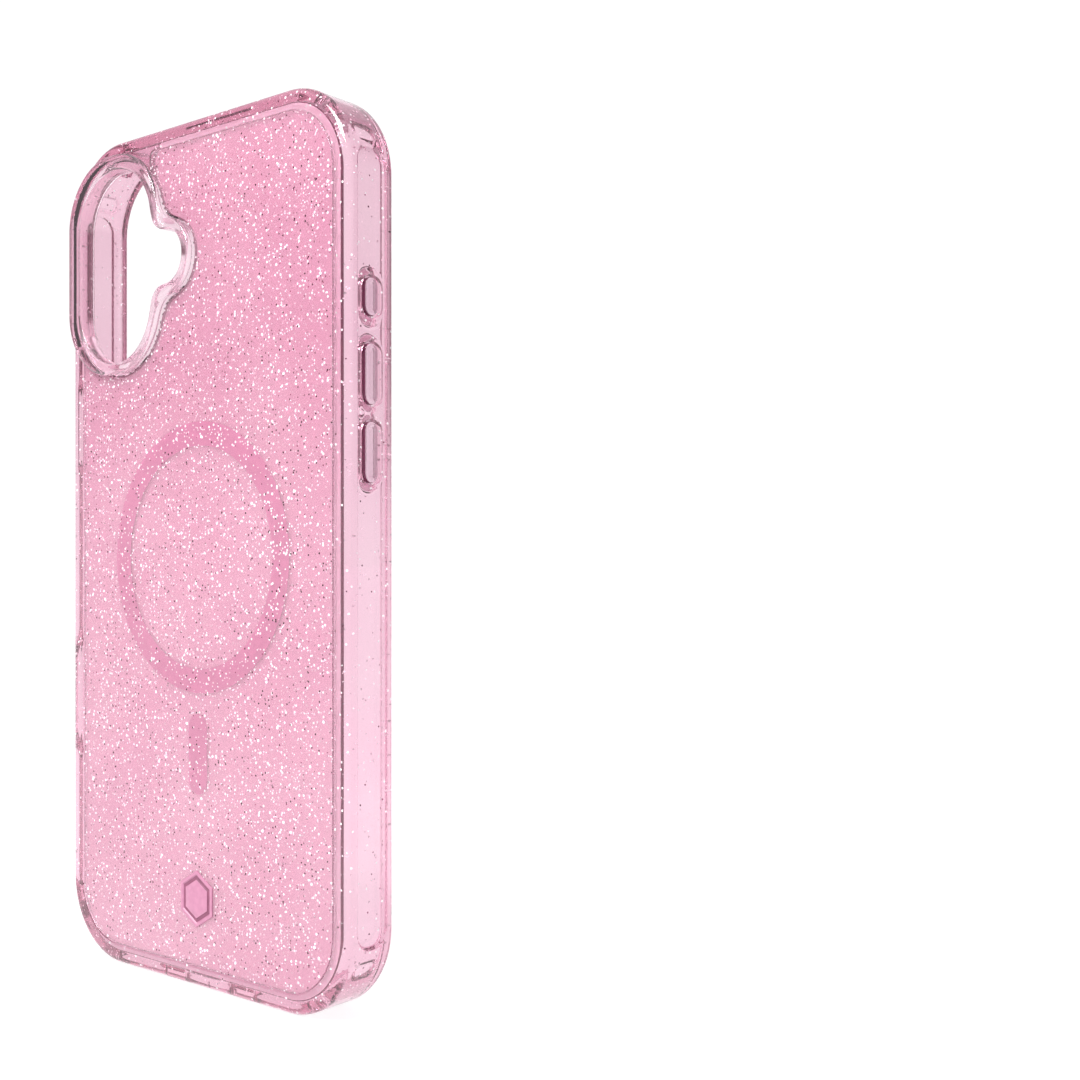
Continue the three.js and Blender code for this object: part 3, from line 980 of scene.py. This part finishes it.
def flake_mesh(name, centres, sizes, tilt, material, seed):
    """Thin six-sided flakes as flat double pyramids, one closed solid each."""
    random = np.random.default_rng(seed)
    count = len(centres)
    normal = random.normal(0, tilt, (count, 3)) + np.array([0, -1.0, 0])
    normal /= np.linalg.norm(normal, axis=1)[:, None]
    side = np.cross(normal, random.normal(0, 1, (count, 3)))
    side /= np.linalg.norm(side, axis=1)[:, None]
    other = np.cross(normal, side)
    corners = []
    for k in range(6):
        angle = k * math.pi / 3
        arm = math.cos(angle) * side + math.sin(angle) * other
        corners.append(centres + arm * (sizes / 2)[:, None])
    thick = np.minimum(sizes * 0.08, 0.02)[:, None]
    corners.append(centres + normal * thick)
    corners.append(centres - normal * thick)
    points = np.stack(corners, axis=1).reshape(-1, 3)
    faces = []
    for k in range(6):
        after = (k + 1) % 6
        faces.append((k, after, 6))
        faces.append((after, k, 7))
    pattern = np.array(faces)
    every = (pattern[None] + 8 * np.arange(count)[:, None, None]).reshape(-1, 3)
    piece = new_object(name, points, every, material, smooth=False)
    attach(piece, BODY)
    return piece


def panel_flakes(name, count, low_size, high_size, material, seed):
    """Flakes that just break the panel's outer face."""
    random = np.random.default_rng(seed)
    tries = count * 2
    x = random.uniform(-HALF_WIDTH, HALF_WIDTH, tries)
    up = random.uniform(-HALF_LENGTH, HALF_LENGTH, tries)
    keep = (panel_outline(x, up, PANEL_INSET) < -0.5) & (hexagon_field(x, up) > 0.4)
    x, up = x[keep][:count], up[keep][:count]
    depth = np.full(len(x), 0.004)
    sizes = low_size + (high_size - low_size) * random.power(0.45, len(x)) ** 2
    centres = np.stack([x, depth, up], axis=1)
    return flake_mesh(name, centres, sizes, 0.04, material, seed + 1)


def bumper_flakes(name, count, low_size, high_size, material, seed):
    """Sparse flakes anywhere in the bumper's plastic."""
    random = np.random.default_rng(seed)
    tries = count * 14
    x = random.uniform(-HALF_WIDTH, HALF_WIDTH, tries)
    depth = random.uniform(0, DEPTH, tries)
    up = random.uniform(-HALF_LENGTH, HALF_LENGTH, tries)
    keep = bumper_field(x, depth, up) < -0.22
    centres = np.stack([x, depth, up], axis=1)[keep][:count]
    sizes = random.uniform(low_size, high_size, len(centres))
    return flake_mesh(name, centres, sizes, 1.2, material, seed + 1)


def build_glitter():
    panel_flakes("glitter_panel_light", 1900, 0.26, 0.70, LIGHT_FLAKE, 11)
    bumper_flakes("glitter_bumper_light", 2000, 0.18, 0.44, LIGHT_FLAKE, 37)
    bumper_flakes("glitter_bumper_dark", 160, 0.12, 0.26, DARK_FLAKE, 41)


# ---------- Studio ----------

FLOOR_REACH = 12.0
FLOOR_GLOW = 0.85
KEY_PLACE = (0.05, -0.34, 0.48)
KEY_SIZE = (0.3, 0.2)
KEY_POWER = 3.3
LENS = 45.96
LENS_SHIFT = 0.0185
CAMERA_TURN = 38.32
SKY_STRENGTH = 1.05
SKY_TURN = 308.0
SKY_WHITE = (1.0, 1.0, 1.0)
SKY_HIGH = (0.52, 0.48, 0.50)
SKY_GREY = (0.15, 0.055, 0.085)
SKY_SOFT = (0.90, 0.89, 0.90)
SKY_STOPS = [
    (0.00, SKY_WHITE),
    (0.08, SKY_WHITE),
    (0.16, SKY_GREY),
    (0.27, SKY_GREY),
    (0.37, SKY_SOFT),
    (0.63, SKY_SOFT),
    (0.73, SKY_GREY),
    (0.84, SKY_GREY),
    (0.92, SKY_WHITE),
    (1.00, SKY_WHITE),
]


def stage_material():
    material, tree, shader = new_material("studio_floor_white")
    tone = ramp(tree, object_noise(tree, 3.0), 0.3, 0.7, (0.30, 0.29, 0.30), (0.34, 0.34, 0.34))
    tree.links.new(tone, shader.inputs["Base Color"])
    shader.inputs["Roughness"].default_value = 0.9
    shader.inputs["Emission Color"].default_value = (1.0, 1.0, 1.0, 1)
    shader.inputs["Emission Strength"].default_value = FLOOR_GLOW
    return material


def build_stage():
    """A pale floor that runs to the horizon."""
    reach = FLOOR_REACH
    corners = [(-reach, -reach, 0), (reach, -reach, 0), (reach, reach, 0), (-reach, reach, 0)]
    mesh = bpy.data.meshes.new("studio_floor")
    mesh.from_pydata(corners, [], [(0, 1, 2, 3)])
    mesh.materials.append(stage_material())
    floor = bpy.data.objects.new("studio_floor", mesh)
    bpy.context.scene.collection.objects.link(floor)


def soft_light(name, location, target, size, power):
    data = bpy.data.lights.new(name, "AREA")
    data.shape = "RECTANGLE"
    data.size, data.size_y = size
    data.energy = power
    lamp = bpy.data.objects.new(name, data)
    lamp.location = location
    lamp.rotation_euler = (Vector(target) - Vector(location)).to_track_quat("-Z", "Y").to_euler()
    bpy.context.scene.collection.objects.link(lamp)


def smooth_step(tree, source, start, end):
    node = tree.nodes.new("ShaderNodeMapRange")
    node.interpolation_type = "SMOOTHSTEP"
    node.inputs["From Min"].default_value = start
    node.inputs["From Max"].default_value = end
    tree.links.new(source, node.inputs["Value"])
    return node.outputs["Result"]


def build_sky():
    """A studio sky with two darker sides, which draw the edges of the clear plastic.

    It is plain white where it is seen directly.
    """
    world = bpy.data.worlds.new("studio_sky")
    world.use_nodes = True
    tree = world.node_tree
    direction = tree.nodes.new("ShaderNodeTexCoord")
    turn = tree.nodes.new("ShaderNodeMapping")
    turn.inputs["Rotation"].default_value = (0, 0, math.radians(-SKY_TURN))
    around = tree.nodes.new("ShaderNodeTexGradient")
    around.gradient_type = "RADIAL"
    tone = tree.nodes.new("ShaderNodeValToRGB")
    tone.color_ramp.interpolation = "EASE"
    stops = tone.color_ramp.elements
    stops[0].position, stops[0].color = SKY_STOPS[0][0], (*SKY_STOPS[0][1], 1)
    stops[1].position, stops[1].color = SKY_STOPS[-1][0], (*SKY_STOPS[-1][1], 1)
    for position, color in SKY_STOPS[1:-1]:
        stops.new(position).color = (*color, 1)
    tree.links.new(direction.outputs["Generated"], turn.inputs["Vector"])
    tree.links.new(turn.outputs["Vector"], around.inputs["Vector"])
    tree.links.new(around.outputs["Fac"], tone.inputs["Fac"])
    split = tree.nodes.new("ShaderNodeSeparateXYZ")
    tree.links.new(direction.outputs["Generated"], split.inputs["Vector"])
    low = smooth_step(tree, split.outputs["Z"], 0.0, 0.16)
    high = smooth_step(tree, split.outputs["Z"], 0.40, 0.80)
    seen = tree.nodes.new("ShaderNodeLightPath").outputs["Is Camera Ray"]
    color = mix_colors(tree, low, SKY_WHITE, tone.outputs["Color"])
    color = mix_colors(tree, high, color, SKY_HIGH)
    color = mix_colors(tree, seen, color, SKY_WHITE)
    background = tree.nodes["Background"]
    tree.links.new(color, background.inputs["Color"])
    background.inputs["Strength"].default_value = SKY_STRENGTH
    bpy.context.scene.world = world


def build_lights():
    middle = (0.0, 0.0, MID_Z)
    soft_light("key", KEY_PLACE, middle, KEY_SIZE, KEY_POWER)


def build_camera():
    """The reference view: from the right of the outer back, at mid height."""
    data = bpy.data.cameras.new("camera")
    data.sensor_width = 36.0
    data.lens = LENS
    data.shift_y = LENS_SHIFT
    data.clip_start = 0.01
    camera = bpy.data.objects.new("camera", data)
    camera.location = (0.2133, BACK_Y - 0.1649, MID_Z - 0.0015)
    camera.rotation_euler = (math.pi / 2, 0.0, math.radians(CAMERA_TURN))
    bpy.context.scene.collection.objects.link(camera)
    bpy.context.scene.camera = camera


build_bumper()
build_guard()
build_panel()
build_liner()
build_covers()
build_badge()
build_buttons()
finish_magnets()
build_glitter()
build_stage()
build_sky()
build_lights()
build_camera()
bpy.context.scene.view_settings.view_transform = "Standard"
